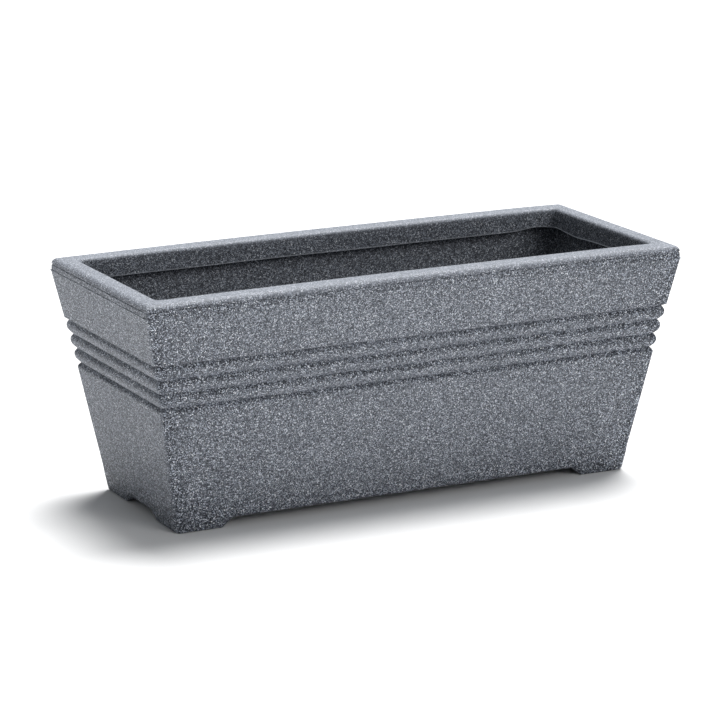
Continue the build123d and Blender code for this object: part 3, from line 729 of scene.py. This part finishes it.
def mix(tree, blend, factor, first, second):
    """Mixes a colour socket with a second colour or socket. factor is a number or a socket."""
    made = add_node(tree, "ShaderNodeMix", data_type="RGBA", blend_type=blend, clamp_result=True)
    if isinstance(factor, (int, float)):
        made.inputs[0].default_value = factor
    else:
        tree.links.new(factor, made.inputs[0])
    tree.links.new(first, made.inputs[6])
    if isinstance(second, tuple):
        made.inputs[7].default_value = (*second, 1)
    else:
        tree.links.new(second, made.inputs[7])
    return made.outputs[2]


def vary_gloss(tree, shader, source, low, high):
    """Lets the roughness follow a noise, between low and high."""
    made = add_node(tree, "ShaderNodeMapRange")
    made.inputs["To Min"].default_value = low
    made.inputs["To Max"].default_value = high
    tree.links.new(source, made.inputs["Value"])
    tree.links.new(made.outputs["Result"], shader.inputs["Roughness"])


def raise_grain(tree, shader, source, strength, distance):
    """Lets the surface rise and fall with a noise, by distance at full strength."""
    made = add_node(tree, "ShaderNodeBump", Strength=strength, Distance=distance)
    tree.links.new(source, made.inputs["Height"])
    tree.links.new(made.outputs["Normal"], shader.inputs["Normal"])


def speckle_cells(tree, place, scale):
    """A random grey for each small cell."""
    cells = add_node(tree, "ShaderNodeTexVoronoi", Scale=scale, Randomness=1.0)
    tree.links.new(place, cells.inputs["Vector"])
    split = add_node(tree, "ShaderNodeSeparateColor")
    tree.links.new(cells.outputs["Color"], split.inputs["Color"])
    return split.outputs["Red"]


# ---------------------------------------------------------------- granite speckle

# Cells to the metre for each of the three layers of speckle
COARSE_CELLS = 1030.0
FINE_CELLS = 1700.0
DARK_CELLS = 920.0
FINE_SHARE = 0.28

# From the darkest cells to the brightest: how many there are of each follows from the positions
COARSE_STOPS = [
    (0.0, (0.012, 0.014, 0.019)),
    (0.26, (0.028, 0.032, 0.041)),
    (0.38, (0.100, 0.112, 0.134)),
    (0.60, (0.145, 0.160, 0.188)),
    (0.74, (0.275, 0.297, 0.338)),
    (0.87, (0.370, 0.395, 0.442)),
    (0.94, (0.700, 0.730, 0.790)),
    (1.0, (0.840, 0.865, 0.915)),
]
FINE_STOPS = [
    (0.0, (0.020, 0.023, 0.029)),
    (0.30, (0.060, 0.066, 0.079)),
    (0.70, (0.170, 0.184, 0.212)),
    (1.0, (0.480, 0.505, 0.555)),
]
# What the third layer multiplies the colour by, where the painted shade lies
DARK_STOPS = [
    (0.0, (0.10, 0.105, 0.12)),
    (0.43, (0.26, 0.27, 0.29)),
    (0.58, (0.92, 0.93, 0.95)),
    (0.78, (1.10, 1.11, 1.13)),
    (1.0, (2.6, 2.63, 2.66)),
]
# A slow change of tone over the whole shell, which also multiplies the colour
CLOUD_STOPS = [(0.30, (0.88, 0.88, 0.88)), (0.70, (1.01, 1.01, 1.01))]
# Grey of the painted sheen on the rim's top
SHEEN_GREY = (0.205, 0.220, 0.250)
# Grey of the painted highlight along the skirt's lower edge
SKIRT_HIGHLIGHT_GREY = (0.80, 0.84, 0.90)


def granite_material():
    """Slate grey polyethylene, moulded with a granite speckle."""
    material, tree, shader = new_material("granite_polyethylene")
    place = object_place(tree)
    coarse = ramp(tree, speckle_cells(tree, place, COARSE_CELLS), COARSE_STOPS)
    fine = ramp(tree, speckle_cells(tree, place, FINE_CELLS), FINE_STOPS)
    colour = mix(tree, "MIX", FINE_SHARE, coarse, fine)
    cloud = noise_on(tree, place, scale=9.0, detail=4.0, roughness=0.6)
    colour = mix(tree, "MULTIPLY", 1.0, colour, ramp(tree, cloud, CLOUD_STOPS))
    # The third layer paints shade: its mostly darker cells are mixed in by the mesh's share of painted shade
    dark = ramp(tree, speckle_cells(tree, place, DARK_CELLS), DARK_STOPS)
    painted_shade_colour = mix(tree, "MULTIPLY", 1.0, colour, dark)
    colour = mix(tree, "MIX", share_of(tree, "painted_shade"), colour, painted_shade_colour)
    # Painted sheen on the rim's top
    colour = mix(tree, "MIX", share_of(tree, "painted_sheen"), colour, SHEEN_GREY)
    # Painted highlight along the skirt's lower edge
    colour = mix(tree, "MIX", share_of(tree, "skirt_highlight"), colour, SKIRT_HIGHLIGHT_GREY)
    tree.links.new(colour, shader.inputs["Base Color"])
    vary_gloss(tree, shader, cloud, low=0.55, high=0.72)
    shader.inputs["Specular IOR Level"].default_value = 0.35
    peel = noise_on(tree, place, scale=420.0, detail=3.0, roughness=0.6)
    raise_grain(tree, shader, peel, strength=0.35, distance=0.6 * MM)
    return material


# ---------------------------------------------------------------- materials of the fittings

def moulded_material(name, colour, roughness, grain=0.12, grain_scale=900.0, specular=0.5):
    """Moulded plastic or rubber: an even colour with faint mottle, scuffs in the gloss and a fine grain."""
    material, tree, shader = new_material(name)
    place = object_place(tree)
    mottle = noise_on(tree, place, scale=38.0, detail=5.0, roughness=0.65)
    darker = tuple(c * 0.82 for c in colour)
    lighter = tuple(min(1.0, c * 1.18) for c in colour)
    mottled = ramp(tree, mottle, [(0.3, darker), (0.7, lighter)])
    tree.links.new(mottled, shader.inputs["Base Color"])
    vary_gloss(tree, shader, mottle, low=roughness - 0.07, high=roughness + 0.09)
    shader.inputs["Specular IOR Level"].default_value = specular
    texture = noise_on(tree, place, scale=grain_scale, detail=2.0)
    raise_grain(tree, shader, texture, strength=grain, distance=0.3 * MM)
    return material


def metal_material(name, colour, roughness):
    """Drawn metal, with fine scratches in its colour and its gloss."""
    material, tree, shader = new_material(name)
    scratches = noise_on(tree, object_place(tree), scale=1400.0, detail=3.0)
    darker = tuple(c * 0.85 for c in colour)
    scratched = ramp(tree, scratches, [(0.3, darker), (0.7, colour)])
    tree.links.new(scratched, shader.inputs["Base Color"])
    vary_gloss(tree, shader, scratches, low=roughness - 0.06, high=roughness + 0.12)
    shader.inputs["Metallic"].default_value = 1.0
    return material


def clear_material(name, colour, roughness):
    """Clear moulded plastic with faint flow marks in its gloss."""
    material, tree, shader = new_material(name)
    marks = noise_on(tree, object_place(tree), scale=60.0, detail=3.0)
    vary_gloss(tree, shader, marks, low=roughness - 0.04, high=roughness + 0.10)
    shader.inputs["Base Color"].default_value = (*colour, 1)
    shader.inputs["Transmission Weight"].default_value = 1.0
    shader.inputs["IOR"].default_value = 1.5
    return material


def plain_material(name, colour, roughness):
    """An even matt colour, for the studio."""
    material, _, shader = new_material(name)
    shader.inputs["Base Color"].default_value = (*colour, 1)
    shader.inputs["Roughness"].default_value = roughness
    return material


# ---------------------------------------------------------------- build

granite = granite_material()
black_plastic = moulded_material("black_polypropylene", (0.022, 0.023, 0.025), roughness=0.42)
rubber = moulded_material("black_rubber", (0.012, 0.012, 0.012), roughness=0.68, grain=0.2, specular=0.3)
pale_plastic = moulded_material("grey_polypropylene", (0.36, 0.37, 0.38), roughness=0.45)
float_plastic = moulded_material(
    "foamed_polypropylene", (0.72, 0.70, 0.64), roughness=0.7, grain=0.35, grain_scale=500.0)
red_plastic = moulded_material("red_plastic", (0.55, 0.022, 0.015), roughness=0.28)
steel = metal_material("stainless_wire", (0.60, 0.60, 0.59), roughness=0.26)
clear_plastic = clear_material("clear_polycarbonate", (0.90, 0.94, 0.95), roughness=0.08)
KIT_MATERIALS = {
    "overflow_gasket": rubber,
    "drain_gasket": rubber,
    "drain_o_ring": rubber,
    "overflow_screen": pale_plastic,
    "guide_ring": pale_plastic,
    "level_float": float_plastic,
    "indicator_tip": red_plastic,
    "indicator_rod": steel,
    "cap_hinge_pin": steel,
    "sight_cap": clear_plastic,
}

shell = build_shell()
for hole_x, hole_z in HOLE_PLACES:
    punch_hole(shell, hole_x, hole_z)
shell.data.set_sharp_from_angle(angle=SHARP_ANGLE)
shell.data.materials.append(granite)
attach(shell, "planter")
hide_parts("planter_shell")

for node_name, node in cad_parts.items():
    if node_name != "planter_shell":
        node.data.materials.clear()
        node.data.materials.append(KIT_MATERIALS.get(node_name, black_plastic))

# ---------------------------------------------------------------- floor, light and camera

FLOOR_HALF = 12.0
FLOOR_SIGNS = ((-1, -1), (1, -1), (1, 1), (-1, 1))
floor_mesh = bpy.data.meshes.new("studio_floor")
floor_mesh.from_pydata([(u * FLOOR_HALF, v * FLOOR_HALF, 0) for u, v in FLOOR_SIGNS], [], [(0, 1, 2, 3)])
floor_mesh.materials.append(plain_material("pale_floor", (0.74, 0.74, 0.74), roughness=0.9))
studio_floor = bpy.data.objects.new("studio_floor", floor_mesh)
bpy.context.scene.collection.objects.link(studio_floor)

world = bpy.data.worlds.new("studio")
bpy.context.scene.world = world
world.use_nodes = True
background = world.node_tree.nodes["Background"]
background.inputs["Color"].default_value = (0.94, 0.97, 1.0, 1)
background.inputs["Strength"].default_value = 0.28


def soft_light(name, towards, strength, spread):
    """A broad even light from a direction, as from a large softbox; spread is its width in degrees."""
    data = bpy.data.lights.new(name, "SUN")
    data.energy = strength
    data.angle = math.radians(spread)
    made = bpy.data.objects.new(name, data)
    made.rotation_mode = "QUATERNION"
    made.rotation_quaternion = Vector(towards).to_track_quat("Z", "Y")
    bpy.context.scene.collection.objects.link(made)


soft_light("overhead_softbox", towards=(0.28, 0.22, 1.0), strength=5.9, spread=34)
soft_light("front_softbox", towards=(0.30, -1.0, 0.52), strength=0.78, spread=26)

CAMERA_AZIMUTH = math.radians(-26.907)
CAMERA_ELEVATION = math.radians(14.299)
CAMERA_DISTANCE = 4.056
CAMERA_TARGET = Vector((-0.0109, 0.0, 0.1528))
CAMERA_LENS = 166.25
CAMERA_SENSOR = 36.0
camera_data = bpy.data.cameras.new("camera")
camera_data.lens = CAMERA_LENS
camera_data.sensor_width = CAMERA_SENSOR
camera = bpy.data.objects.new("camera", camera_data)
back = Vector((
    math.sin(CAMERA_AZIMUTH) * math.cos(CAMERA_ELEVATION),
    -math.cos(CAMERA_AZIMUTH) * math.cos(CAMERA_ELEVATION),
    math.sin(CAMERA_ELEVATION),
))
camera.location = CAMERA_TARGET + back * CAMERA_DISTANCE
camera.rotation_mode = "QUATERNION"
camera.rotation_quaternion = back.to_track_quat("Z", "Y")
bpy.context.scene.collection.objects.link(camera)
bpy.context.scene.camera = camera
bpy.context.scene.view_settings.view_transform = "Standard"
